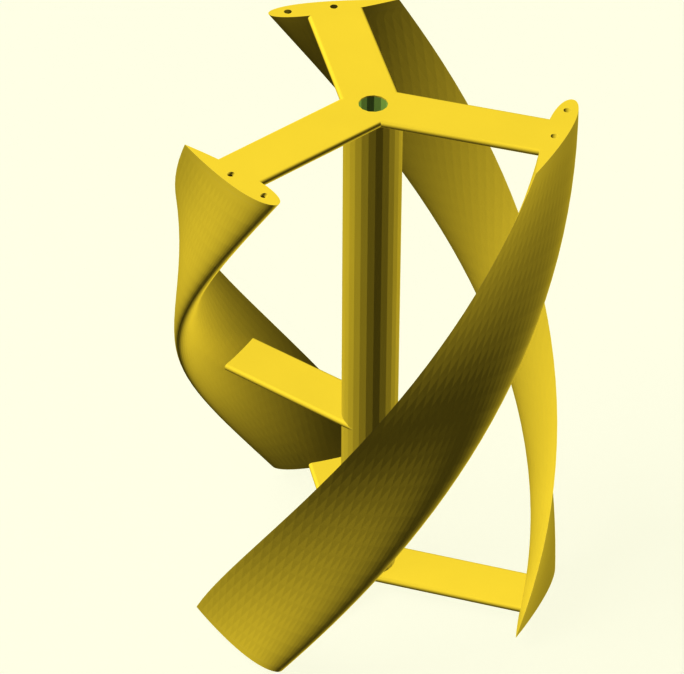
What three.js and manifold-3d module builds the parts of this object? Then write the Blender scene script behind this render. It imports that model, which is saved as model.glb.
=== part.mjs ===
// Small vertical-axis wind turbine: a three-bladed helical rotor that spins on a fixed steel spindle.
// Millimetres, +Z up. The origin is the centre of the underside of the foot that the spindle stands on.
import * as THREE from 'three';
import { mergeVertices } from 'three/addons/utils/BufferGeometryUtils.js';
import Module from 'manifold-3d';

const wasm = await Module();
wasm.setup();

// ---- Driving dimensions -------------------------------------------------------------------------

// Rotor. Heights below are measured from the rotor's underside, which clears the foot's underside.
const GROUND_CLEARANCE = 4;
const ROTOR_HEIGHT = 160;
const ROTOR_RADIUS = 50; // axis to the middle of a blade's chord
const BLADE_NAMES = ['blade_a', 'blade_b', 'blade_c'];
const BLADE_TOP_ANGLES = [330, 90, 210]; // degrees from +X, at the top of the rotor
const BLADE_TWIST = 120; // degrees that a section turns between the rotor's bottom and top

// Blade section: a symmetric four-digit aerofoil with its chord along the rotor's tangent.
const CHORD = 37;
const THICKNESS_RATIO = 0.18;
const FOIL_POINTS = 10; // steps along each side of the section
const BLADE_STEPS = 20;

// Arms, hub and tube.
const ARM_WIDTH = 16;
const PLATE_THICKNESS = 2;
const TUBE_RADIUS = 8;
const TUBE_SIDES = 26;
const HUB_HOLE_RADIUS = 4;
const HUB_HOLE_SIDES = 13;
const HUB_LIP = 0.4; // thickness of the lip left over a sleeve's neck at the end face
const STRUT_UNDERSIDE = ROTOR_HEIGHT / 3;

// Dowel pins through the ends of the spiders into the blades, leaning with the blade's twist.
const PIN_RADIUS = 1; // in a level section
const PIN_LENGTH = 5; // from one level end to the other
const PIN_RECESS = 1; // depth of the pin's end below the face
const PIN_OFFSETS = [0, -13]; // along the chord from its middle, negative towards the leading edge
const PIN_SIDES = 10;
const PIN_STEPS = 5;

// Miniature deep-groove bearings.
const BEARING_BORE = 3;
const BEARING_OUTER = 10;
const BEARING_HEIGHT = 4;
const INNER_LAND = 2.6; // radius of the inner ring beside its groove
const OUTER_LAND = 3.85;
const GROOVE_CLEARANCE = 0.06;
const BALL_RADIUS = 0.79;
const BALL_COUNT = 7;
const CAGE = { halfWidth: 0.3, low: 1.5, high: 3.2 };
const SHIELD = { inner: 2.75, outer: 4.3, step: 0.35, thickness: 0.2 };
const RING_SIDES = 20;
const BALL_SIDES = 8;
const ARC_STEPS = 4; // along a ball groove and round an arm's edge

// Sleeves, spindle and its stack.
const SLEEVE_LENGTH = 9; // rotor's end face to the bearing
const SLEEVE_WALL = 0.4; // of the neck that lines the hub hole
const SHOULDER_WIDTH = 0.5; // of the step in the tube that a bearing rests on
const SHIM_HEIGHT = 0.5;
const SHIM_RADIUS = 2.5;
const SPACER_RADIUS = 2.4;
const HEX_ACROSS_FLATS = 5.5;
const NUT_HEIGHT = 2.4;
const ROD_PROUD = 0.5; // rod end above the nut
const ROD_IN_FOOT = 6;
const SOCKET_RADIUS = 1.25; // tapping size of the foot's threaded hole
const SOCKET_DEPTH = 5;

// Clearances.
const FIT_GAP = 0.05; // radial, between a piece and the hole it sits in
const END_GAP = 0.1; // at the ends of the strut and of the pins
const OVERCUT = 1; // how far a cutting shape stands out past what it cuts

// ---- Derived sizes ------------------------------------------------------------------------------

const SHOULDER_DEPTH = SLEEVE_LENGTH + BEARING_HEIGHT;
const TUBE_BORE = BEARING_OUTER / 2 - SHOULDER_WIDTH;
const PIN_HOLE_DEPTH = PIN_RECESS + PIN_LENGTH + END_GAP;
const ROD_RADIUS = BEARING_BORE / 2;
const BALL_CIRCLE = (BEARING_BORE + BEARING_OUTER) / 4;
const FULL_TURN = 2 * Math.PI;

// ---- Materials ----------------------------------------------------------------------------------

function finish(color, roughness, metalness) {
  return new THREE.MeshStandardMaterial({ color, roughness, metalness });
}

const yellow = finish('#f5d22c', 0.5, 0);
const green = finish('#5c8a35', 0.5, 0);
const steel = finish('#b9bcc0', 0.3, 1);
const darkSteel = finish('#6b5a3c', 0.45, 1);
const brass = finish('#c9a24a', 0.35, 1);
const nylon = finish('#d8d2c0', 0.6, 0);

// ---- Helpers ------------------------------------------------------------------------------------

const assembly = new THREE.Group();
assembly.position.z = GROUND_CLEARANCE;

function addPiece(name, geometry, material, parent = assembly) {
  const mesh = new THREE.Mesh(geometry, material);
  mesh.name = name;
  parent.add(mesh);
  return mesh;
}

// A closed geometry as a solid that can be joined and cut.
function solid(geometry) {
  const bare = geometry.clone();
  bare.deleteAttribute('normal');
  bare.deleteAttribute('uv');
  const merged = mergeVertices(bare, 1e-5);
  const vertProperties = new Float32Array(merged.attributes.position.array);
  const triVerts = new Uint32Array(merged.index.array);
  return new wasm.Manifold(new wasm.Mesh({ numProp: 3, vertProperties, triVerts }));
}

function geometryOf(shape) {
  const mesh = shape.getMesh();
  const geometry = new THREE.BufferGeometry();
  geometry.setAttribute('position', new THREE.BufferAttribute(mesh.vertProperties, 3));
  geometry.setIndex(new THREE.BufferAttribute(mesh.triVerts, 1));
  geometry.computeVertexNormals();
  return geometry;
}

// A solid of revolution about Z from a closed [radius, height] outline; one edge of facets starts at +X.
function turned(outline, sides) {
  const points = outline.map(([radius, height]) => new THREE.Vector2(radius, height));
  if (THREE.ShapeUtils.isClockWise(points)) points.reverse();
  points.push(points[0].clone());
  return new THREE.LatheGeometry(points, sides, Math.PI / 2, FULL_TURN).rotateX(Math.PI / 2);
}

function ring(inner, outer, low, high, sides) {
  return turned([[inner, low], [outer, low], [outer, high], [inner, high]], sides);
}

function rod(radius, low, high, sides, steps = 1) {
  const geometry = new THREE.CylinderGeometry(radius, radius, high - low, sides, steps);
  return geometry.rotateX(Math.PI / 2).translate(0, 0, (low + high) / 2);
}

function box(lowX, highX, width, lowZ, highZ) {
  const geometry = new THREE.BoxGeometry(highX - lowX, width, highZ - lowZ);
  return geometry.translate((lowX + highX) / 2, 0, (lowZ + highZ) / 2);
}

function hexPrism(low, high) {
  const cornerRadius = HEX_ACROSS_FLATS / Math.sqrt(3);
  return rod(cornerRadius, low, high, 6);
}

const radians = (degrees) => THREE.MathUtils.degToRad(degrees);
const sectionAngle = (topAngle, height) => topAngle - BLADE_TWIST * (1 - height / ROTOR_HEIGHT);

// ---- Blades -------------------------------------------------------------------------------------

// Half thickness of the section at a fraction x of its chord, as a fraction of the chord.
function halfThickness(x) {
  const curve = 0.2969 * Math.sqrt(x) - 0.126 * x - 0.3516 * x ** 2 + 0.2843 * x ** 3 - 0.1036 * x ** 4;
  return 5 * THICKNESS_RATIO * curve;
}

// The section at angle 0: its chord runs along -Y from the leading to the trailing edge.
function foilShape(growth) {
  const length = CHORD + 2 * growth;
  const outer = [];
  const inner = [];
  for (let i = 0; i <= FOIL_POINTS; i++) {
    const x = (1 - Math.cos((Math.PI * i) / FOIL_POINTS)) / 2;
    const thick = i === 0 || i === FOIL_POINTS ? 0 : CHORD * halfThickness(x) + growth;
    const y = length * (0.5 - x);
    outer.push(new THREE.Vector2(ROTOR_RADIUS + thick, y));
    if (thick > 0) inner.push(new THREE.Vector2(ROTOR_RADIUS - thick, y));
  }
  return new THREE.Shape([...outer, ...inner.reverse()]);
}

// Turns a geometry at angle 0 about the axis, each point as far as the blade's section at its height.
function twisted(geometry, topAngle) {
  const position = geometry.attributes.position;
  const point = new THREE.Vector3();
  const axis = new THREE.Vector3(0, 0, 1);
  for (let i = 0; i < position.count; i++) {
    point.fromBufferAttribute(position, i);
    point.applyAxisAngle(axis, radians(sectionAngle(topAngle, point.z)));
    position.setXYZ(i, point.x, point.y, point.z);
  }
  return geometry;
}

// Part of a blade between two heights.
function bladeSlab(topAngle, low, high, growth = 0) {
  const steps = Math.max(1, Math.round((BLADE_STEPS * (high - low)) / ROTOR_HEIGHT));
  const options = { depth: high - low, steps, bevelEnabled: false };
  return twisted(new THREE.ExtrudeGeometry(foilShape(growth), options).translate(0, 0, low), topAngle);
}

const BLADE_SPAN = [PLATE_THICKNESS, ROTOR_HEIGHT - PLATE_THICKNESS];
const ENDS = [
  { name: 'bottom', face: 0, inward: 1 },
  { name: 'top', face: ROTOR_HEIGHT, inward: -1 },
];

// Low and high heights of a stretch between two depths measured inwards from an end face.
function stretch(end, nearDepth, farDepth) {
  const heights = [end.face + end.inward * nearDepth, end.face + end.inward * farDepth];
  return [Math.min(...heights), Math.max(...heights)];
}

// A rod that stands in a blade's end at an offset along the chord and follows the blade's twist.
function rodInBlade(topAngle, end, offset, radius, nearDepth, farDepth) {
  const upright = rod(radius, ...stretch(end, nearDepth, farDepth), PIN_SIDES, PIN_STEPS);
  return solid(twisted(upright.translate(ROTOR_RADIUS, -offset, 0), topAngle));
}

function pinHoles(topAngle, end) {
  const radius = PIN_RADIUS + FIT_GAP;
  return PIN_OFFSETS.map((offset) => rodInBlade(topAngle, end, offset, radius, -OVERCUT, PIN_HOLE_DEPTH));
}

// ---- Middle strut -------------------------------------------------------------------------------

const STRUT_ANGLE = sectionAngle(BLADE_TOP_ANGLES[0], STRUT_UNDERSIDE);
const TENON_THICKNESS = 1.2;
const TUBE_TENON = { low: 6, high: TUBE_RADIUS + 1, width: 8 };
const BLADE_TENON = { low: ROTOR_RADIUS - 5, high: ROTOR_RADIUS - 1, width: 8 };

function atStrutAngle(geometry) {
  return geometry.rotateZ(radians(STRUT_ANGLE));
}

// The pocket stands on the same floor as its tenon and is a little wider, taller and deeper.
function tenonSolid(tenon, gap) {
  const floor = STRUT_UNDERSIDE + (PLATE_THICKNESS - TENON_THICKNESS) / 2;
  const ceiling = floor + TENON_THICKNESS + gap;
  return solid(atStrutAngle(box(tenon.low - gap, tenon.high + gap, tenon.width + 2 * gap, floor, ceiling)));
}

// A flat bar with fully rounded side edges, running outwards along +X from the axis.
function armBar(underside) {
  const edge = PLATE_THICKNESS / 2;
  const reach = ARM_WIDTH / 2 - edge;
  const outline = new THREE.Shape();
  outline.absarc(0, reach, edge, 0, Math.PI, false);
  outline.absarc(0, -reach, edge, Math.PI, FULL_TURN, false);
  const options = { depth: ROTOR_RADIUS, bevelEnabled: false, curveSegments: ARC_STEPS };
  return new THREE.ExtrudeGeometry(outline, options).rotateY(Math.PI / 2).translate(0, 0, underside + edge);
}

function buildMidStrut() {
  const bladeSpace = solid(bladeSlab(BLADE_TOP_ANGLES[0], ...BLADE_SPAN, END_GAP));
  const tubeSpace = solid(rod(TUBE_RADIUS + END_GAP, 0, ROTOR_HEIGHT, TUBE_SIDES * 2));
  const pastBlade = box(BLADE_TENON.high, ROTOR_RADIUS + OVERCUT, ARM_WIDTH * 2, 0, ROTOR_HEIGHT);
  const bar = solid(atStrutAngle(armBar(STRUT_UNDERSIDE)));
  const trimmed = bar.subtract(bladeSpace).subtract(tubeSpace).subtract(solid(atStrutAngle(pastBlade)));
  return geometryOf(trimmed.add(tenonSolid(TUBE_TENON, 0)).add(tenonSolid(BLADE_TENON, 0)));
}
addPiece('mid_strut', buildMidStrut(), yellow);

// ---- Blades as pieces ---------------------------------------------------------------------------

BLADE_NAMES.forEach((name, index) => {
  const topAngle = BLADE_TOP_ANGLES[index];
  let blade = solid(bladeSlab(topAngle, ...BLADE_SPAN));
  for (const end of ENDS) {
    for (const hole of pinHoles(topAngle, end)) blade = blade.subtract(hole);
  }
  if (index === 0) blade = blade.subtract(tenonSolid(BLADE_TENON, FIT_GAP));
  addPiece(name, geometryOf(blade), yellow);
});

// ---- Spiders: three arms in one plate, with a blade-shaped pad at each tip -----------------------

function buildSpider(end) {
  const [low, high] = stretch(end, 0, PLATE_THICKNESS);
  let spider = null;
  for (const topAngle of BLADE_TOP_ANGLES) {
    const arm = solid(armBar(low).rotateZ(radians(sectionAngle(topAngle, end.face))));
    const pad = solid(bladeSlab(topAngle, low, high));
    spider = spider ? spider.add(arm).add(pad) : arm.add(pad);
  }
  for (const topAngle of BLADE_TOP_ANGLES) {
    for (const hole of pinHoles(topAngle, end)) spider = spider.subtract(hole);
  }
  const hubHole = solid(ring(0, HUB_HOLE_RADIUS, low - OVERCUT, high + OVERCUT, HUB_HOLE_SIDES));
  const neckRadius = HUB_HOLE_RADIUS + SLEEVE_WALL + FIT_GAP;
  const neckHeights = stretch(end, HUB_LIP, PLATE_THICKNESS + OVERCUT);
  const neckSpace = solid(ring(0, neckRadius, ...neckHeights, HUB_HOLE_SIDES));
  return geometryOf(spider.subtract(hubHole).subtract(neckSpace));
}
for (const end of ENDS) addPiece(`${end.name}_spider`, buildSpider(end), yellow);

// ---- Central tube -------------------------------------------------------------------------------

function buildTube() {
  const [low, high] = BLADE_SPAN;
  const seat = BEARING_OUTER / 2 + FIT_GAP;
  const outline = [
    [seat, low],
    [TUBE_RADIUS, low],
    [TUBE_RADIUS, high],
    [seat, high],
    [seat, ROTOR_HEIGHT - SHOULDER_DEPTH],
    [TUBE_BORE, ROTOR_HEIGHT - SHOULDER_DEPTH],
    [TUBE_BORE, SHOULDER_DEPTH],
    [seat, SHOULDER_DEPTH],
  ];
  return geometryOf(solid(turned(outline, TUBE_SIDES)).subtract(tenonSolid(TUBE_TENON, FIT_GAP)));
}
addPiece('rotor_tube', buildTube(), yellow);

// ---- Sleeves: line the hub holes, centre the spiders on the tube and keep the bearings in --------

function buildSleeve(end) {
  const depth = (d) => end.face + end.inward * d;
  const neck = HUB_HOLE_RADIUS + SLEEVE_WALL;
  const body = BEARING_OUTER / 2 - FIT_GAP;
  const outline = [
    [HUB_HOLE_RADIUS, depth(HUB_LIP)],
    [neck, depth(HUB_LIP)],
    [neck, depth(PLATE_THICKNESS)],
    [body, depth(PLATE_THICKNESS)],
    [body, depth(SLEEVE_LENGTH)],
    [HUB_HOLE_RADIUS, depth(SLEEVE_LENGTH)],
  ];
  return turned(outline, HUB_HOLE_SIDES);
}
for (const end of ENDS) addPiece(`${end.name}_sleeve`, buildSleeve(end), green);

// ---- Dowel pins ---------------------------------------------------------------------------------

for (const end of ENDS) {
  BLADE_NAMES.forEach((bladeName, index) => {
    const topAngle = BLADE_TOP_ANGLES[index];
    PIN_OFFSETS.forEach((offset, number) => {
      const pin = rodInBlade(topAngle, end, offset, PIN_RADIUS, PIN_RECESS, PIN_RECESS + PIN_LENGTH);
      addPiece(`${end.name}_pin_${bladeName.at(-1)}${number + 1}`, geometryOf(pin), darkSteel);
    });
  });
}

// ---- Bearings -----------------------------------------------------------------------------------

// Points of the groove that the balls run in, from below the ball's middle to above it.
function groove(landRadius) {
  const grooveRadius = BALL_RADIUS + GROOVE_CLEARANCE;
  const outward = Math.sign(landRadius - BALL_CIRCLE);
  const half = Math.acos(Math.abs(landRadius - BALL_CIRCLE) / grooveRadius);
  const points = [];
  for (let i = 0; i <= ARC_STEPS; i++) {
    const a = half * ((2 * i) / ARC_STEPS - 1);
    const radius = BALL_CIRCLE + outward * grooveRadius * Math.cos(a);
    points.push([radius, BEARING_HEIGHT / 2 + grooveRadius * Math.sin(a)]);
  }
  return points;
}

function buildInnerRing() {
  const bore = ROD_RADIUS + FIT_GAP;
  const outline = [
    [bore, 0],
    [INNER_LAND, 0],
    ...groove(INNER_LAND),
    [INNER_LAND, BEARING_HEIGHT],
    [bore, BEARING_HEIGHT],
  ];
  return turned(outline, RING_SIDES);
}

// Steps inside both ends of the outer ring seat the shields.
function buildOuterRing() {
  const outer = BEARING_OUTER / 2;
  const outline = [
    [outer, 0],
    [SHIELD.outer, 0],
    [SHIELD.outer, SHIELD.step],
    [OUTER_LAND, SHIELD.step],
    ...groove(OUTER_LAND),
    [OUTER_LAND, BEARING_HEIGHT - SHIELD.step],
    [SHIELD.outer, BEARING_HEIGHT - SHIELD.step],
    [SHIELD.outer, BEARING_HEIGHT],
    [outer, BEARING_HEIGHT],
  ];
  return turned(outline, RING_SIDES);
}

function buildShield(low) {
  return ring(SHIELD.inner, SHIELD.outer - FIT_GAP, low, low + SHIELD.thickness, RING_SIDES);
}

function ball(radius, number) {
  const a = (FULL_TURN * number) / BALL_COUNT;
  const geometry = new THREE.SphereGeometry(radius, BALL_SIDES, BALL_SIDES - 2);
  return geometry.translate(BALL_CIRCLE * Math.cos(a), BALL_CIRCLE * Math.sin(a), BEARING_HEIGHT / 2);
}

// A crown cage: a ring with a pocket for each ball.
function buildCage() {
  const { halfWidth, low, high } = CAGE;
  let cage = solid(ring(BALL_CIRCLE - halfWidth, BALL_CIRCLE + halfWidth, low, high, 2 * BALL_COUNT));
  for (let number = 0; number < BALL_COUNT; number++) {
    cage = cage.subtract(solid(ball(BALL_RADIUS + FIT_GAP, number)));
  }
  return geometryOf(cage);
}

for (const end of ENDS) {
  const bearing = new THREE.Group();
  [bearing.position.z] = stretch(end, SLEEVE_LENGTH, SHOULDER_DEPTH);
  assembly.add(bearing);
  const prefix = `${end.name}_bearing`;
  addPiece(`${prefix}_inner_ring`, buildInnerRing(), steel, bearing);
  addPiece(`${prefix}_outer_ring`, buildOuterRing(), steel, bearing);
  addPiece(`${prefix}_lower_shield`, buildShield(SHIELD.step - SHIELD.thickness), steel, bearing);
  addPiece(`${prefix}_upper_shield`, buildShield(BEARING_HEIGHT - SHIELD.step), steel, bearing);
  addPiece(`${prefix}_cage`, buildCage(), nylon, bearing);
  for (let number = 0; number < BALL_COUNT; number++) {
    addPiece(`${prefix}_ball_${number + 1}`, ball(BALL_RADIUS, number), steel, bearing);
  }
}

// ---- Fixed spindle and what is stacked on it ------------------------------------------------------

const FOOT_UNDERSIDE = -GROUND_CLEARANCE;
const FOOT_TOP = SLEEVE_LENGTH - SHIM_HEIGHT;
const TOP_SHIM = ROTOR_HEIGHT - SLEEVE_LENGTH;
const NUT_UNDERSIDE = TOP_SHIM + SHIM_HEIGHT;

function buildFoot() {
  const rodHole = solid(rod(ROD_RADIUS + FIT_GAP, FOOT_TOP - ROD_IN_FOOT, FOOT_TOP + OVERCUT, RING_SIDES));
  const socketTop = FOOT_UNDERSIDE + SOCKET_DEPTH;
  const socket = solid(rod(SOCKET_RADIUS, FOOT_UNDERSIDE - OVERCUT, socketTop, RING_SIDES));
  return geometryOf(solid(hexPrism(FOOT_UNDERSIDE, FOOT_TOP)).subtract(rodHole).subtract(socket));
}

function buildNut() {
  const top = NUT_UNDERSIDE + NUT_HEIGHT;
  const hole = rod(ROD_RADIUS + FIT_GAP, NUT_UNDERSIDE - OVERCUT, top + OVERCUT, RING_SIDES);
  return geometryOf(solid(hexPrism(NUT_UNDERSIDE, top)).subtract(solid(hole)));
}

const onRod = (radius, low, high) => ring(ROD_RADIUS + FIT_GAP, radius, low, high, RING_SIDES);

addPiece('spindle_foot', buildFoot(), brass);
const rodTop = NUT_UNDERSIDE + NUT_HEIGHT + ROD_PROUD;
addPiece('spindle_rod', rod(ROD_RADIUS, FOOT_TOP - ROD_IN_FOOT, rodTop, RING_SIDES), steel);
addPiece('bottom_shim', onRod(SHIM_RADIUS, FOOT_TOP, SLEEVE_LENGTH), steel);
addPiece('bearing_spacer', onRod(SPACER_RADIUS, SHOULDER_DEPTH, ROTOR_HEIGHT - SHOULDER_DEPTH), steel);
addPiece('top_shim', onRod(SHIM_RADIUS, TOP_SHIM, NUT_UNDERSIDE), steel);
addPiece('spindle_nut', buildNut(), steel);

export default assembly;
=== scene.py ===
"""Looks of a small vertical-axis wind turbine: a yellow helical rotor on a fixed steel spindle.

Metres, +Z up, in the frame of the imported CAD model. Lengths below are written in millimetres times MM.
"""

import math

import bmesh
import bpy
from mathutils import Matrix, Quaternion, Vector


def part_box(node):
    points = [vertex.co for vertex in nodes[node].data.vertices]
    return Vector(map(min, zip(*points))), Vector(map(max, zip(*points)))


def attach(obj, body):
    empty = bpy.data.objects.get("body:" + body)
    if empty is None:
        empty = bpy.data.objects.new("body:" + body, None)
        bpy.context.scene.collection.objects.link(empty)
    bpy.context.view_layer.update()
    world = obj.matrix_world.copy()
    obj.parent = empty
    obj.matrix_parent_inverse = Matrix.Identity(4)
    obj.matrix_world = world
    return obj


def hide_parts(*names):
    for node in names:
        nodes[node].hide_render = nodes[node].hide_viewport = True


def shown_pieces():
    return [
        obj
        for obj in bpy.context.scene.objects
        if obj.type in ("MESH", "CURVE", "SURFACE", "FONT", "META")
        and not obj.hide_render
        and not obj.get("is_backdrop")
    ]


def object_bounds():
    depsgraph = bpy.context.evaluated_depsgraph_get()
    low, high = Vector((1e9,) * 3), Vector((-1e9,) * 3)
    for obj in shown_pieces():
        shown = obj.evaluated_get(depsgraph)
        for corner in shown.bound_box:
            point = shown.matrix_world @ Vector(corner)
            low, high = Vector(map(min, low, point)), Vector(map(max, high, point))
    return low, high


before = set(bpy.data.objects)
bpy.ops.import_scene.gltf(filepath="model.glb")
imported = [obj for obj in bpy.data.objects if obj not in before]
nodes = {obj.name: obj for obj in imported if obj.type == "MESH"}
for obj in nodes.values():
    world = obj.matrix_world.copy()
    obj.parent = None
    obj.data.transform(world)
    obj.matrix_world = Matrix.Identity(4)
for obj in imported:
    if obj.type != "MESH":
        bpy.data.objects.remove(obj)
cad_low, cad_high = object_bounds()
scene = bpy.context.scene

# ---- Sizes ----------------------------------------------------------------------------------------

MM = 0.001
FULL_TURN = 2 * math.pi
UP = Vector((0, 0, 1))
OVERCUT = 1 * MM  # how far a cutting shape stands out of the piece it cuts

# Rotor. Blade angles are in degrees.
ROTOR_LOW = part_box("bottom_spider")[0].z
ROTOR_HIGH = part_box("top_spider")[1].z
ROTOR_HEIGHT = ROTOR_HIGH - ROTOR_LOW
PLATE = ROTOR_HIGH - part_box("top_spider")[0].z
TUBE_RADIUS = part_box("rotor_tube")[1].x
STRUT_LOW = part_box("mid_strut")[0].z

ROTOR_RADIUS = 50 * MM
BLADE_TOP_ANGLES = {"blade_a": 330, "blade_b": 90, "blade_c": 210}
BLADE_TWIST = 120
CHORD = 37 * MM
THICKNESS_RATIO = 0.18
ARM_WIDTH = 16 * MM
TUBE_SIDES = 26
TUBE_FACET_ANGLE = math.radians(9.1)
STRUT_END_INSET = 1.4 * MM  # from the middle of the blade's section

# End faces, each with the direction into the rotor.
ENDS = {"bottom": (ROTOR_LOW, 1), "top": (ROTOR_HIGH, -1)}

# Hub hole and pin holes. Pin offsets run along the chord from its middle, towards the trailing edge.
HUB_HOLE_RADIUS = 4 * MM
HUB_HOLE_SIDES = 13
HUB_LIP = ROTOR_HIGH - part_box("top_sleeve")[1].z
NECK_RADIUS = 4.45 * MM
PIN_RADIUS = 1 * MM
PIN_CHAMFER = 0.2 * MM
PIN_HOLE_RADIUS = 1.05 * MM
PIN_HOLE_DEPTH = 6.1 * MM
PIN_OFFSETS = (0, -13 * MM)

# Bearings, spacer and shims.
RING_CHAMFER = 0.12 * MM
BEARING_BORE = 1.55 * MM
BEARING_SEAT = 5.05 * MM
SHOULDER_RADIUS = 4.5 * MM
BALL_COUNT = 7
BALL_CIRCLE = 3.25 * MM
GROOVE_RADIUS = 0.85 * MM
OUTER_LAND = 3.85 * MM
SHIELD_BORE = 2.75 * MM
SHIELD_STEP = 0.35 * MM
SHIELD_GAP = 0.05 * MM
SHIELD_CHAMFER = 0.05 * MM
SHIM_CHAMFER = 0.06 * MM

# Spindle.
THREAD_PITCH = 0.5 * MM
THREAD_DEPTH = 0.22 * MM
ROD_CHAMFER = 0.3 * MM
NUT_LEAD = 0.25 * MM
SOCKET_DEPTH = 5 * MM
SOCKET_RADIUS = 1.45 * MM
SOCKET_LEAD = 0.2 * MM
SOCKET_CHAMFER = 0.1 * MM

# Chamfer of a hexagon's corners: its start inside the flats, and its extra height at the corners.
HEXAGON_INSET = 0.1 * MM
HEXAGON_RISE = 0.06 * MM

# Fineness of the meshes.
FOIL_STEPS = 24
SLICE_HEIGHT = 4.97 * MM
EDGE_STEPS = 12
ROUND_SIDES = 72
THREAD_SIDES = 48
THREAD_STEPS = 8  # rings of points in one turn of a thread
PIN_SIDES = 32
SAME_POINT = 0.002 * MM
SAME_PLANE = math.radians(0.05)


# ---- Mesh helpers ---------------------------------------------------------------------------------

def loft(loops):
    """A closed solid through loops of the same number of points, with flat ends.

    Each four-sided patch between two loops is split along its shorter diagonal.
    """
    bm = bmesh.new()
    rows = [[bm.verts.new(point) for point in loop] for loop in loops]
    count = len(loops[0])
    for low, high in zip(rows, rows[1:]):
        for i in range(count):
            j = (i + 1) % count
            if (low[i].co - high[j].co).length < (low[j].co - high[i].co).length:
                bm.faces.new((low[i], low[j], high[j]))
                bm.faces.new((low[i], high[j], high[i]))
            else:
                bm.faces.new((low[i], low[j], high[i]))
                bm.faces.new((low[j], high[j], high[i]))
    bm.faces.new(list(reversed(rows[0])))
    bm.faces.new(rows[-1])
    bmesh.ops.recalc_face_normals(bm, faces=bm.faces)
    return bm


def turned(outline, sides, first_angle=0.0):
    """A solid of revolution about Z from a closed outline of (radius, height) points."""
    bm = bmesh.new()
    rows = []
    for i in range(sides):
        angle = first_angle + FULL_TURN * i / sides
        across = Vector((math.cos(angle), math.sin(angle), 0))
        rows.append([bm.verts.new(across * radius + UP * height) for radius, height in outline])
    count = len(outline)
    for i in range(sides):
        here, after = rows[i], rows[(i + 1) % sides]
        for j in range(count):
            k = (j + 1) % count
            bm.faces.new((here[j], after[j], after[k], here[k]))
    bmesh.ops.recalc_face_normals(bm, faces=bm.faces)
    return bm


def stacked(profile, sides, ripple=None):
    """A solid rod about Z through (radius, height) points from bottom to top; ripple may change a radius."""
    loops = []
    for radius, height in profile:
        loop = []
        for i in range(sides):
            angle = FULL_TURN * i / sides
            r = radius if ripple is None else ripple(radius, angle, height)
            loop.append(Vector((r * math.cos(angle), r * math.sin(angle), height)))
        loops.append(loop)
    return loft(loops)


def placed(bm, offset):
    """The same mesh, moved."""
    bmesh.ops.translate(bm, verts=bm.verts, vec=offset)
    return bm


def mesh_object(name, bm):
    mesh = bpy.data.meshes.new(name)
    bm.to_mesh(mesh)
    bm.free()
    obj = bpy.data.objects.new(name, mesh)
    scene.collection.objects.link(obj)
    return obj


def apply_modifiers(obj):
    bpy.context.view_layer.update()
    graph = bpy.context.evaluated_depsgraph_get()
    mesh = bpy.data.meshes.new_from_object(obj.evaluated_get(graph), depsgraph=graph)
    obj.modifiers.clear()
    old = obj.data
    obj.data = mesh
    bpy.data.meshes.remove(old)


def boolean(target, bm, operation):
    """Cut, join or intersect an object with a mesh, which is used up."""
    tool = mesh_object("tool", bm)
    modifier = target.modifiers.new("boolean", "BOOLEAN")
    modifier.operation = operation
    modifier.solver = "EXACT"
    modifier.object = tool
    apply_modifiers(target)
    bpy.data.objects.remove(tool)


def merge_flat_faces(obj):
    """Clean up after several booleans: coplanar faces become one, and points that coincide too."""
    bm = bmesh.new()
    bm.from_mesh(obj.data)
    bmesh.ops.remove_doubles(bm, verts=bm.verts, dist=SAME_POINT)
    bmesh.ops.dissolve_limit(bm, angle_limit=SAME_PLANE, verts=bm.verts, edges=bm.edges)
    bm.to_mesh(obj.data)
    bm.free()


def set_shading(obj, sharp_angle):
    """Smooth shading with sharp edges above an angle; an angle of 0 keeps every facet flat."""
    if sharp_angle == 0:
        obj.data.shade_flat()
        return
    obj.data.shade_smooth()
    obj.data.set_sharp_from_angle(angle=math.radians(sharp_angle))
    weighted = obj.modifiers.new("weighted_normals", "WEIGHTED_NORMAL")
    weighted.keep_sharp = True


def add_piece(obj, body, node, material, sharp_angle=30):
    """Finish a visible piece that rides on a body and stands for a CAD node."""
    set_shading(obj, sharp_angle)
    obj.data.materials.clear()
    obj.data.materials.append(material)
    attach(obj, body)
    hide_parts(node)


# ---- Materials ------------------------------------------------------------------------------------

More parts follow.
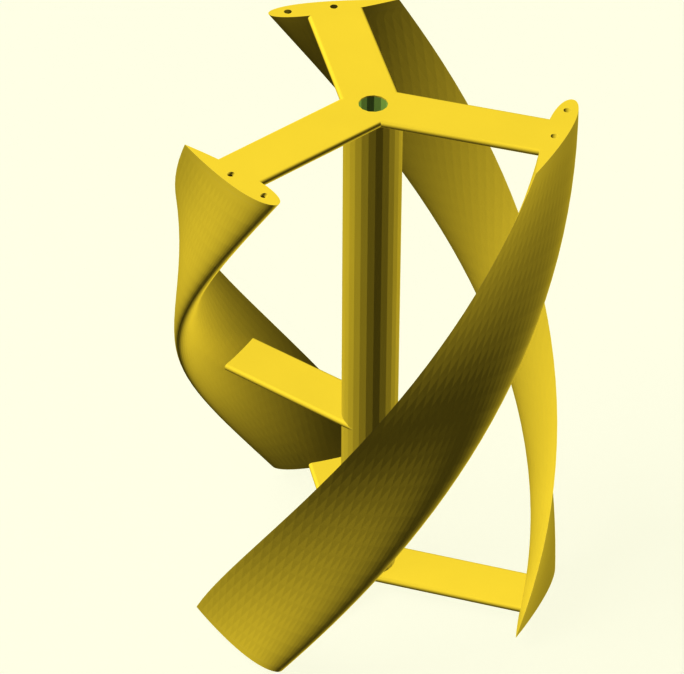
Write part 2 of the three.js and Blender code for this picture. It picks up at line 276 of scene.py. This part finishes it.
class Graph:
    """A material's node tree, built by linking each new node's inputs to values or earlier outputs."""

    def __init__(self, name):
        self.material = bpy.data.materials.new(name)
        self.material.use_nodes = True
        self.tree = self.material.node_tree
        self.tree.nodes.clear()

    def fill(self, node, inputs):
        for key, value in inputs.items():
            if isinstance(value, bpy.types.NodeSocket):
                self.tree.links.new(value, node.inputs[key])
            else:
                node.inputs[key].default_value = value

    def add(self, kind, inputs=None, output=0, **settings):
        node = self.tree.nodes.new(kind)
        for key, value in settings.items():
            setattr(node, key, value)
        self.fill(node, inputs or {})
        return node.outputs[output]

    def math(self, operation, first, second=0.0):
        return self.add("ShaderNodeMath", {0: first, 1: second}, operation=operation)

    def ramp(self, value, low, high, new_low=0.0, new_high=1.0):
        inputs = {"Value": value, "From Min": low, "From Max": high, "To Min": new_low, "To Max": new_high}
        return self.add("ShaderNodeMapRange", inputs)

    def noise(self, vector, scale, detail=2.0):
        inputs = {"Vector": vector, "Scale": scale, "Detail": detail, "Roughness": 0.5}
        return self.add("ShaderNodeTexNoise", inputs)

    def vary(self, noise, new_low, new_high):
        """Spread a noise's usual range of values from new_low to new_high."""
        return self.ramp(noise, 0.3, 0.7, new_low, new_high)

    def mix(self, factor, first, second):
        node = self.tree.nodes.new("ShaderNodeMix")
        node.data_type = "RGBA"
        self.fill(node, {0: factor, 6: first, 7: second})
        return node.outputs[2]

    def brighten(self, colour, factor):
        return self.add("ShaderNodeHueSaturation", {"Value": factor, "Color": colour})

    def position(self):
        return self.add("ShaderNodeTexCoord", output=3)

    def split(self, vector):
        separate = self.tree.nodes.new("ShaderNodeSeparateXYZ")
        self.tree.links.new(vector, separate.inputs[0])
        return separate.outputs

    def bump(self, height, distance, normal=None):
        inputs = {"Height": height, "Distance": distance, "Strength": 1.0}
        if normal is not None:
            inputs["Normal"] = normal
        return self.add("ShaderNodeBump", inputs)

    def show(self, surface):
        output = self.tree.nodes.new("ShaderNodeOutputMaterial")
        self.tree.links.new(surface, output.inputs["Surface"])
        return self.material

    def principled(self, **inputs):
        names = {name.replace("_", " "): value for name, value in inputs.items()}
        return self.show(self.add("ShaderNodeBsdfPrincipled", names))


# Scales of the noise, in waves per metre.
MOTTLE_SCALE = 38
WAVER_SCALE = 60
GRAIN_SCALE = 2600
BLOTCH_SCALE = 700
TOOL_MARK_SCALE = 9000
PAPER_SCALE = 3

# Printed plastic.
LAYER_HEIGHT = 0.3 * MM
LAYER_WAVER = 1.2
LAYER_TONE = 0.006
LAYER_RELIEF = 0.0012 * MM
GRAIN_RELIEF = 0.004 * MM
PLASTIC_EDGE = 0.25 * MM
PLASTIC_PALENESS = 0.35

# Turned metal.
TOOL_MARK_RELIEF = 0.004 * MM
METAL_EDGE = 0.12 * MM
METAL_PALENESS = 0.5


def edge_mask(graph, radius):
    """Near 1 on sharp edges, where a rounded normal differs from the true one, and 0 on open faces."""
    rounded = graph.add("ShaderNodeBevel", {"Radius": radius}, samples=6)
    normal = graph.add("ShaderNodeNewGeometry", output=1)
    alike = graph.add("ShaderNodeVectorMath", {0: rounded, 1: normal}, output=1, operation="DOT_PRODUCT")
    return graph.ramp(alike, 0.99, 0.86)


def plastic(name, colour):
    """Satin layered plastic: fine level layers, faint mottling and grain, paler worn edges."""
    graph = Graph(name)
    position = graph.position()
    height = graph.split(position)[2]
    mottle = graph.noise(position, MOTTLE_SCALE, detail=3.0)
    grain = graph.noise(position, GRAIN_SCALE)

    waver = graph.math("MULTIPLY", graph.noise(position, WAVER_SCALE), LAYER_WAVER)
    phase = graph.math("ADD", graph.math("MULTIPLY", height, FULL_TURN / LAYER_HEIGHT), waver)
    layers = graph.math("SINE", phase)

    value = graph.vary(mottle, 0.985, 1.015)
    value = graph.math("ADD", value, graph.math("MULTIPLY", layers, LAYER_TONE))
    base = graph.brighten(colour, value)

    wear = graph.math("MULTIPLY", edge_mask(graph, PLASTIC_EDGE), graph.ramp(grain, 0.35, 0.7))
    pale = [channel + (1 - channel) * PLASTIC_PALENESS for channel in colour[:3]] + [1]
    base = graph.mix(graph.math("MULTIPLY", wear, PLASTIC_PALENESS), base, pale)

    rough = graph.vary(mottle, 0.44, 0.58)
    rough = graph.math("ADD", rough, graph.math("MULTIPLY", wear, 0.12))
    normal = graph.bump(layers, LAYER_RELIEF)
    normal = graph.bump(grain, GRAIN_RELIEF, normal)
    return graph.principled(Base_Color=base, Roughness=rough, Specular_IOR_Level=0.15, Normal=normal)


def turned_metal(name, colour, roughness):
    """Metal with fine tool marks that run round the spindle's axis, and brighter edges."""
    graph = Graph(name)
    position = graph.position()
    x, y, z = graph.split(position)
    radius = graph.math("SQRT", graph.math("ADD", graph.math("MULTIPLY", x, x), graph.math("MULTIPLY", y, y)))
    marks = graph.add("ShaderNodeCombineXYZ", {"X": radius, "Y": 0.0, "Z": z})
    lines = graph.noise(marks, TOOL_MARK_SCALE)
    blotches = graph.noise(position, BLOTCH_SCALE, detail=3.0)
    base = graph.brighten(colour, graph.vary(blotches, 0.86, 1.08))
    edge = graph.math("MULTIPLY", edge_mask(graph, METAL_EDGE), METAL_PALENESS)
    base = graph.mix(edge, base, PALE_METAL)
    rough = graph.vary(lines, roughness - 0.07, roughness + 0.1)
    normal = graph.bump(lines, TOOL_MARK_RELIEF)
    return graph.principled(Base_Color=base, Metallic=1.0, Roughness=rough, Normal=normal)


# The view applies this gamma. Colours made by displayed() are stated as they look on screen in full light.
VIEW_GAMMA = 0.7


def displayed(red, green, blue):
    """The linear colour that the view shows as these 0 to 255 values."""
    channels = []
    for value in (red, green, blue):
        encoded = (value / 255) ** VIEW_GAMMA
        channels.append(((encoded + 0.055) / 1.055) ** 2.4)
    return (*channels, 1)


YELLOW = displayed(249, 216, 50)
GREEN = displayed(157, 203, 81)
CREAM = displayed(255, 255, 229)
IVORY = (0.70, 0.66, 0.55, 1)
STEEL = (0.62, 0.63, 0.65, 1)
DARK_STEEL = (0.20, 0.15, 0.09, 1)
BRASS = displayed(214, 182, 108)
PALE_METAL = (0.9, 0.9, 0.9, 1)

rotor_plastic = plastic("rotor_plastic", YELLOW)
sleeve_plastic = plastic("sleeve_plastic", GREEN)
cage_plastic = plastic("cage_plastic", IVORY)
bright_steel = turned_metal("bright_steel", STEEL, roughness=0.26)
pin_steel = turned_metal("pin_steel", DARK_STEEL, roughness=0.42)
foot_brass = turned_metal("foot_brass", BRASS, roughness=0.3)


# ---- Blades ---------------------------------------------------------------------------------------

def section_angle(top_angle, height):
    return math.radians(top_angle - BLADE_TWIST * (ROTOR_HIGH - height) / ROTOR_HEIGHT)


def half_thickness(x):
    """Half thickness at a fraction x of the chord, for a symmetric four-digit aerofoil closed at its tail."""
    curve = 0.2969 * math.sqrt(x) - 0.126 * x - 0.3516 * x**2 + 0.2843 * x**3 - 0.1036 * x**4
    return 5 * THICKNESS_RATIO * CHORD * curve


def directions(top_angle, height):
    """Outwards, and along the chord towards the trailing edge."""
    angle = section_angle(top_angle, height)
    return Vector((math.cos(angle), math.sin(angle), 0)), Vector((math.sin(angle), -math.cos(angle), 0))


def foil_loop(top_angle, height):
    outwards, tailwards = directions(top_angle, height)
    outer, inner = [], []
    for i in range(FOIL_STEPS + 1):
        x = 1 - math.cos(math.pi / 2 * i / FOIL_STEPS)
        middle = outwards * ROTOR_RADIUS + tailwards * CHORD * (x - 0.5) + UP * height
        outer.append(middle + outwards * half_thickness(x))
        if 0 < i < FOIL_STEPS:
            inner.append(middle - outwards * half_thickness(x))
    return outer + inner[::-1]


def foil_slab(top_angle, low, high):
    """Part of a blade between two heights, in level slices that start at the lower one."""
    slices = math.ceil((high - low) / SLICE_HEIGHT)
    heights = [min(low + i * SLICE_HEIGHT, high) for i in range(slices + 1)]
    return loft([foil_loop(top_angle, height) for height in heights])


def rod_in_blade(top_angle, offset, profile):
    """A round rod that leans with the blade's twist, through (radius, height) points from bottom to top."""
    angles = [FULL_TURN * i / PIN_SIDES for i in range(PIN_SIDES)]
    loops = []
    for radius, height in profile:
        outwards, tailwards = directions(top_angle, height)
        centre = outwards * ROTOR_RADIUS + tailwards * offset + UP * height
        loops.append([centre + (outwards * math.cos(a) - tailwards * math.sin(a)) * radius for a in angles])
    return loft(loops)


def even_profile(radius, low, high):
    """Points up a rod of one radius, about one for every millimetre."""
    steps = math.ceil((high - low) / MM)
    return [(radius, low + (high - low) * i / steps) for i in range(steps + 1)]


def pin_hole(top_angle, face, inward, offset):
    low, high = sorted((face - inward * OVERCUT, face + inward * PIN_HOLE_DEPTH))
    return rod_in_blade(top_angle, offset, even_profile(PIN_HOLE_RADIUS, low, high))


def build_blade(name, top_angle):
    blade = mesh_object(f"fine_{name}", foil_slab(top_angle, ROTOR_LOW + PLATE, ROTOR_HIGH - PLATE))
    for face, inward in ENDS.values():
        for offset in PIN_OFFSETS:
            boolean(blade, pin_hole(top_angle, face, inward, offset), "DIFFERENCE")
    add_piece(blade, "rotor", name, rotor_plastic, sharp_angle=0)


for blade_name, blade_angle in BLADE_TOP_ANGLES.items():
    build_blade(blade_name, blade_angle)


# ---- Arms, spiders, strut and tube ------------------------------------------------------------------

def bar_loop(radius, angle, underside):
    """Cross-section of an arm: flat faces and fully rounded side edges."""
    edge = PLATE / 2
    outwards = Vector((math.cos(angle), math.sin(angle), 0))
    sideways = Vector((-math.sin(angle), math.cos(angle), 0))
    loop = []
    for side, start in ((1, -90), (-1, 90)):
        for i in range(EDGE_STEPS + 1):
            a = math.radians(start + 180 * i / EDGE_STEPS)
            across = side * (ARM_WIDTH / 2 - edge) + edge * math.cos(a)
            loop.append(outwards * radius + sideways * across + UP * (underside + edge + edge * math.sin(a)))
    return loop


def bar(start, end, angle, underside):
    return loft([bar_loop(start, angle, underside), bar_loop(end, angle, underside)])


def cut_through(spider, radius, low, high):
    boolean(spider, stacked([(radius, low), (radius, high)], HUB_HOLE_SIDES), "DIFFERENCE")


def build_spider(end_name):
    face, inward = ENDS[end_name]
    low, high = sorted((face, face + inward * PLATE))
    arm_angles = [section_angle(top_angle, face) for top_angle in BLADE_TOP_ANGLES.values()]
    arms = [bar(0, ROTOR_RADIUS, arm_angle, low) for arm_angle in arm_angles]
    spider = mesh_object(f"fine_{end_name}_spider", arms[0])
    for arm in arms[1:]:
        boolean(spider, arm, "UNION")
    for top_angle in BLADE_TOP_ANGLES.values():
        boolean(spider, foil_slab(top_angle, low, high), "UNION")
        for offset in PIN_OFFSETS:
            boolean(spider, pin_hole(top_angle, face, inward, offset), "DIFFERENCE")
    cut_through(spider, HUB_HOLE_RADIUS, low - PLATE, high + PLATE)
    neck_end = face + inward * HUB_LIP
    cut_through(spider, NECK_RADIUS, *sorted((neck_end, neck_end + inward * 2 * PLATE)))
    merge_flat_faces(spider)
    add_piece(spider, "rotor", f"{end_name}_spider", rotor_plastic)


def build_strut():
    strut_angle = section_angle(BLADE_TOP_ANGLES["blade_a"], STRUT_LOW)
    strut = mesh_object("fine_mid_strut", bar(0, ROTOR_RADIUS - STRUT_END_INSET, strut_angle, STRUT_LOW))
    tube = [(TUBE_RADIUS, STRUT_LOW - PLATE), (TUBE_RADIUS, STRUT_LOW + 2 * PLATE)]
    boolean(strut, stacked(tube, TUBE_SIDES), "DIFFERENCE")
    merge_flat_faces(strut)
    add_piece(strut, "rotor", "mid_strut", rotor_plastic)


def build_tube():
    low, high = (corner.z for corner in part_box("rotor_tube"))
    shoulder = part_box("bottom_bearing_outer_ring")[1].z
    upper_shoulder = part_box("top_bearing_outer_ring")[0].z
    outline = [
        (BEARING_SEAT, low),
        (TUBE_RADIUS, low),
        (TUBE_RADIUS, high),
        (BEARING_SEAT, high),
        (BEARING_SEAT, upper_shoulder),
        (SHOULDER_RADIUS, upper_shoulder),
        (SHOULDER_RADIUS, shoulder),
        (BEARING_SEAT, shoulder),
    ]
    tube = mesh_object("fine_rotor_tube", turned(outline, TUBE_SIDES, TUBE_FACET_ANGLE))
    add_piece(tube, "rotor", "rotor_tube", rotor_plastic, sharp_angle=5)


for end_name in ENDS:
    build_spider(end_name)
build_strut()
build_tube()


# ---- Pins, bearings and spindle -------------------------------------------------------------------

def build_pin(node, top_angle, offset):
    low, high = (corner.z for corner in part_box(node))
    shank = even_profile(PIN_RADIUS, low + PIN_CHAMFER, high - PIN_CHAMFER)
    tip = PIN_RADIUS - PIN_CHAMFER
    profile = [(tip, low), *shank, (tip, high)]
    pin = rod_in_blade(top_angle, offset, profile)
    add_piece(mesh_object(f"fine_{node}", pin), "rotor", node, pin_steel)


def chamfered(inner, outer, low, high, chamfer=RING_CHAMFER):
    return [
        (inner, low),
        (outer - chamfer, low),
        (outer, low + chamfer),
        (outer, high - chamfer),
        (outer - chamfer, high),
        (inner, high),
    ]


def add_turned(node, body, outline):
    ring = mesh_object(f"fine_{node}", turned(outline, ROUND_SIDES))
    add_piece(ring, body, node, bright_steel)


def build_spindle_ring(node, chamfer):
    low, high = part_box(node)
    add_turned(node, "spindle", chamfered(BEARING_BORE, high.x, low.z, high.z, chamfer))


def groove(land, middle):
    """Points of a ball groove in a ring's land, from below its middle height to above it."""
    reach = land - BALL_CIRCLE
    outward = math.copysign(GROOVE_RADIUS, reach)
    half = math.acos(abs(reach) / GROOVE_RADIUS)
    points = []
    for i in range(EDGE_STEPS + 1):
        a = half * (2 * i / EDGE_STEPS - 1)
        points.append((BALL_CIRCLE + outward * math.cos(a), middle + GROOVE_RADIUS * math.sin(a)))
    return points


def build_inner_ring(node):
    low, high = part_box(node)
    land = high.x
    edge = RING_CHAMFER
    outline = [(BEARING_BORE, low.z), (land - edge, low.z), (land, low.z + edge)]
    outline += groove(land, (low.z + high.z) / 2)
    outline += [(land, high.z - edge), (land - edge, high.z), (BEARING_BORE, high.z)]
    add_turned(node, "spindle", outline)


def build_outer_ring(node, shield):
    low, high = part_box(node)
    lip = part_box(shield)[1].x + SHIELD_GAP
    outline = chamfered(lip, high.x, low.z, high.z)
    outline += [(lip, high.z - SHIELD_STEP), (OUTER_LAND, high.z - SHIELD_STEP)]
    outline += groove(OUTER_LAND, (low.z + high.z) / 2)[::-1]
    outline += [(OUTER_LAND, low.z + SHIELD_STEP), (lip, low.z + SHIELD_STEP)]
    add_turned(node, "rotor", outline)


def build_shield(node):
    low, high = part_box(node)
    outline = chamfered(SHIELD_BORE, high.x, low.z, high.z, SHIELD_CHAMFER)
    add_turned(node, "rotor", outline)


def build_ball(node, body):
    low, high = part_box(node)
    bm = bmesh.new()
    bmesh.ops.create_icosphere(bm, subdivisions=3, radius=(high.z - low.z) / 2)
    ball = mesh_object(f"fine_{node}", placed(bm, (low + high) / 2))
    add_piece(ball, body, node, bright_steel, sharp_angle=60)


def thread(spans):
    """A ripple that turns the stretches of a rod between each (low, high) pair into a screw thread."""
    def ripple(radius, angle, height):
        if not any(low <= height <= high for low, high in spans):
            return radius
        turn = (height / THREAD_PITCH - angle / FULL_TURN) % 1
        return radius - THREAD_DEPTH * abs(2 * turn - 1)
    return ripple


def threaded_profile(low, high, radius, chamfer, spans):
    """Heights for a rod, close together where it is threaded."""
    heights = {low + chamfer, high - chamfer}
    for start, end in spans:
        steps = max(2, round((end - start) / (THREAD_PITCH / THREAD_STEPS)))
        heights.update(start + (end - start) * i / steps for i in range(steps + 1))
    middle = [(radius, height) for height in sorted(heights) if low + chamfer <= height <= high - chamfer]
    return [(radius - chamfer, low), *middle, (radius - chamfer, high)]


def build_rod():
    low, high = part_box("spindle_rod")
    foot_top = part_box("spindle_foot")[1].z
    nut_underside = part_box("spindle_nut")[0].z
    spans = [(low.z + ROD_CHAMFER, foot_top), (nut_underside, high.z - ROD_CHAMFER)]
    profile = threaded_profile(low.z, high.z, high.x, ROD_CHAMFER, spans)
    rod = mesh_object("fine_spindle_rod", stacked(profile, THREAD_SIDES, thread(spans)))
    add_piece(rod, "spindle", "spindle_rod", bright_steel)


def hexagon(node):
    """A hexagonal bar with corners on Y and a nut's round chamfers, and the heights of its ends."""
    low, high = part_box(node)
    corner = high.y
    flat = corner * math.cos(math.pi / 6)
    angles = [math.pi * i / 3 for i in range(6)]
    loops = []
    for height in (low.z, high.z):
        loops.append([Vector((corner * math.sin(a), corner * math.cos(a), height)) for a in angles])
    hexagonal = mesh_object(f"fine_{node}", loft(loops))
    drop = (corner - flat) * math.tan(math.radians(30)) + HEXAGON_RISE
    barrel = [
        (flat - HEXAGON_INSET, low.z),
        (corner, low.z + drop),
        (corner, high.z - drop),
        (flat - HEXAGON_INSET, high.z),
    ]
    boolean(hexagonal, stacked(barrel, ROUND_SIDES), "INTERSECT")
    return hexagonal, low.z, high.z


def build_nut():
    nut, low, high = hexagon("spindle_nut")
    mouth = BEARING_BORE + NUT_LEAD + OVERCUT
    hole = [
        (mouth, low - OVERCUT),
        (BEARING_BORE, low + NUT_LEAD),
        (BEARING_BORE, high - NUT_LEAD),
        (mouth, high + OVERCUT),
    ]
    boolean(nut, stacked(hole, ROUND_SIDES), "DIFFERENCE")
    add_piece(nut, "spindle", "spindle_nut", bright_steel)


def build_foot():
    foot, low, high = hexagon("spindle_foot")
    rod_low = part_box("spindle_rod")[0].z
    rod_hole = [(BEARING_BORE, rod_low), (BEARING_BORE, high + OVERCUT)]
    boolean(foot, stacked(rod_hole, ROUND_SIDES), "DIFFERENCE")
    spans = [(low + SOCKET_LEAD, low + SOCKET_DEPTH)]
    start, end = low - SOCKET_LEAD, low + SOCKET_DEPTH + SOCKET_CHAMFER
    socket = threaded_profile(start, end, SOCKET_RADIUS, SOCKET_CHAMFER, spans)
    boolean(foot, stacked(socket, THREAD_SIDES, thread(spans)), "DIFFERENCE")
    add_piece(foot, "spindle", "spindle_foot", foot_brass)


for end_name in ENDS:
    prefix = f"{end_name}_bearing"
    build_inner_ring(f"{prefix}_inner_ring")
    build_outer_ring(f"{prefix}_outer_ring", f"{prefix}_lower_shield")
    build_shield(f"{prefix}_lower_shield")
    build_shield(f"{prefix}_upper_shield")
    for number in range(1, BALL_COUNT + 1):
        build_ball(f"{prefix}_ball_{number}", f"{end_name}_balls")
    for blade_name, top_angle in BLADE_TOP_ANGLES.items():
        for number, offset in enumerate(PIN_OFFSETS, 1):
            build_pin(f"{end_name}_pin_{blade_name[-1]}{number}", top_angle, offset)

build_spindle_ring("bottom_shim", SHIM_CHAMFER)
build_spindle_ring("top_shim", SHIM_CHAMFER)
build_spindle_ring("bearing_spacer", RING_CHAMFER)
build_rod()
build_nut()
build_foot()


# ---- CAD nodes that keep their own shape ------------------------------------------------------------

def finish_node(name, material):
    node = nodes[name]
    node.data.materials.clear()
    node.data.materials.append(material)


for end_name in ENDS:
    finish_node(f"{end_name}_sleeve", sleeve_plastic)
    finish_node(f"{end_name}_bearing_cage", cage_plastic)


# ---- Floor, lights and camera -----------------------------------------------------------------------

# A sun this strong makes a white surface that faces it show as white. Strengths are multiples of it and
# spreads are in degrees. Only the shaded part of a light casts shadows. The metal lights are two domes,
# above and below, that the foot, spindle and bearings reflect.
SUN_FOR_WHITE = math.pi
KEY_DIRECTION = Vector((0.258, -0.510, 0.820))
KEY_STRENGTH = 1.25
COUNTER_LIGHTS = (
    ((-0.369, 0.548, -0.750), 0.66),
    ((0.060, 0.550, -0.830), 0.295),
    ((-0.490, 0.240, -0.840), 0.308),
)
OBJECT_SPREAD = 12
SHADED_PART = 0.05
SHADED_SPREAD = 25
METAL_LIGHTS = ((UP, 0.95), (-UP, 0.8))
METAL_SPREAD = 160
AMBIENT = 0.002

FLOOR_HALF_SIZE = 4
FLOOR_COLOUR = 0.9
FLOOR_WASH_SPREAD = 40
FLOOR_SHADED_PART = 0.07
FLOOR_SHADED_SPREAD = 35


def build_floor():
    bm = bmesh.new()
    bmesh.ops.create_grid(bm, x_segments=8, y_segments=8, size=FLOOR_HALF_SIZE)
    floor = mesh_object("floor", placed(bm, Vector((0, 0, cad_low.z))))
    graph = Graph("floor_paper")
    tone = graph.noise(graph.position(), PAPER_SCALE)
    paper = [FLOOR_COLOUR * channel for channel in CREAM[:3]] + [1]
    colour = graph.brighten(paper, graph.vary(tone, 0.997, 1.003))
    diffuse = graph.add("ShaderNodeBsdfDiffuse", {"Color": colour})
    clear = graph.add("ShaderNodeBsdfTransparent")
    behind = graph.add("ShaderNodeNewGeometry", output=6)
    surface = graph.add("ShaderNodeMixShader", {0: behind, 1: diffuse, 2: clear})
    floor.data.materials.append(graph.show(surface))
    floor.visible_diffuse = False
    floor.visible_glossy = False
    floor.visible_shadow = False
    floor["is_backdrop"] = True
    return floor


def add_sun(name, direction, strength, spread, receivers, casts_shadow=False, shines=False):
    """A far light in a direction that lights the receivers only; one that shines shows in reflections."""
    light = bpy.data.lights.new(name, "SUN")
    light.energy = strength
    light.angle = math.radians(spread)
    light.use_shadow = casts_shadow
    sun = bpy.data.objects.new(name, light)
    sun.rotation_euler = direction.to_track_quat("Z", "Y").to_euler()
    sun.visible_glossy = shines
    sun.light_linking.receiver_collection = receivers
    scene.collection.objects.link(sun)


def lit_group(name, objects):
    group = bpy.data.collections.new(name)
    for obj in objects:
        group.objects.link(obj)
    return group


def light_floor(floor):
    group = lit_group("floor_lit", [floor])
    white = SUN_FOR_WHITE / FLOOR_COLOUR
    wash = white * (1 - FLOOR_SHADED_PART)
    shade = white * FLOOR_SHADED_PART / KEY_DIRECTION.z
    add_sun("floor_wash", UP, wash, FLOOR_WASH_SPREAD, group)
    add_sun("floor_shade", KEY_DIRECTION, shade, FLOOR_SHADED_SPREAD, group, casts_shadow=True)


def light_object():
    group = lit_group("object_lit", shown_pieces())
    key = KEY_STRENGTH * SUN_FOR_WHITE
    shaded = key * SHADED_PART
    add_sun("key_open", KEY_DIRECTION, key - shaded, OBJECT_SPREAD, group)
    add_sun("key_shaded", KEY_DIRECTION, shaded, SHADED_SPREAD, group, casts_shadow=True, shines=True)
    for number, (direction, strength) in enumerate(COUNTER_LIGHTS):
        add_sun(f"counter_{number}", Vector(direction), strength * SUN_FOR_WHITE, OBJECT_SPREAD, group)


def light_metal():
    metals = (bright_steel, foot_brass)
    group = lit_group("metal_lit", [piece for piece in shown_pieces() if piece.data.materials[0] in metals])
    for number, (direction, strength) in enumerate(METAL_LIGHTS):
        add_sun(f"metal_{number}", direction, strength * SUN_FOR_WHITE, METAL_SPREAD, group, shines=True)


def build_world():
    world = bpy.data.worlds.new("studio")
    scene.world = world
    world.use_nodes = True
    tree = world.node_tree
    tree.nodes.clear()
    path = tree.nodes.new("ShaderNodeLightPath")
    seen = tree.nodes.new("ShaderNodeBackground")
    seen.inputs["Color"].default_value = CREAM
    lit = tree.nodes.new("ShaderNodeBackground")
    lit.inputs["Color"].default_value = (1, 1, 1, 1)
    lit.inputs["Strength"].default_value = AMBIENT
    mix = tree.nodes.new("ShaderNodeMixShader")
    output = tree.nodes.new("ShaderNodeOutputWorld")
    tree.links.new(path.outputs["Is Camera Ray"], mix.inputs[0])
    tree.links.new(lit.outputs[0], mix.inputs[1])
    tree.links.new(seen.outputs[0], mix.inputs[2])
    tree.links.new(mix.outputs[0], output.inputs[0])


# Camera: angles in degrees, the azimuth from -Y towards +X.
VIEW_AZIMUTH = 107.606
VIEW_ELEVATION = 36.819
VIEW_ROLL = 0.323
VIEW_DISTANCE = 1030.6 * MM
VIEW_LENS = 194.53
SENSOR_WIDTH = 36
AIM_POINT = Vector((2.505, -7.562, 86.366)) * MM


def add_camera():
    azimuth, elevation = math.radians(VIEW_AZIMUTH), math.radians(VIEW_ELEVATION)
    level = math.cos(elevation)
    back = Vector((math.sin(azimuth) * level, -math.cos(azimuth) * level, math.sin(elevation)))
    data = bpy.data.cameras.new("camera")
    data.lens = VIEW_LENS
    data.sensor_width = SENSOR_WIDTH
    camera = bpy.data.objects.new("camera", data)
    camera.location = AIM_POINT + back * VIEW_DISTANCE
    upright = back.to_track_quat("Z", "Y")
    camera.rotation_euler = (Quaternion(back, math.radians(VIEW_ROLL)) @ upright).to_euler()
    scene.collection.objects.link(camera)
    scene.camera = camera


# Pieces don't colour each other with bounced light.
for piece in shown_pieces():
    piece.visible_diffuse = False

light_floor(build_floor())
light_object()
light_metal()
build_world()
add_camera()
scene.view_settings.view_transform = "Standard"
scene.view_settings.gamma = VIEW_GAMMA
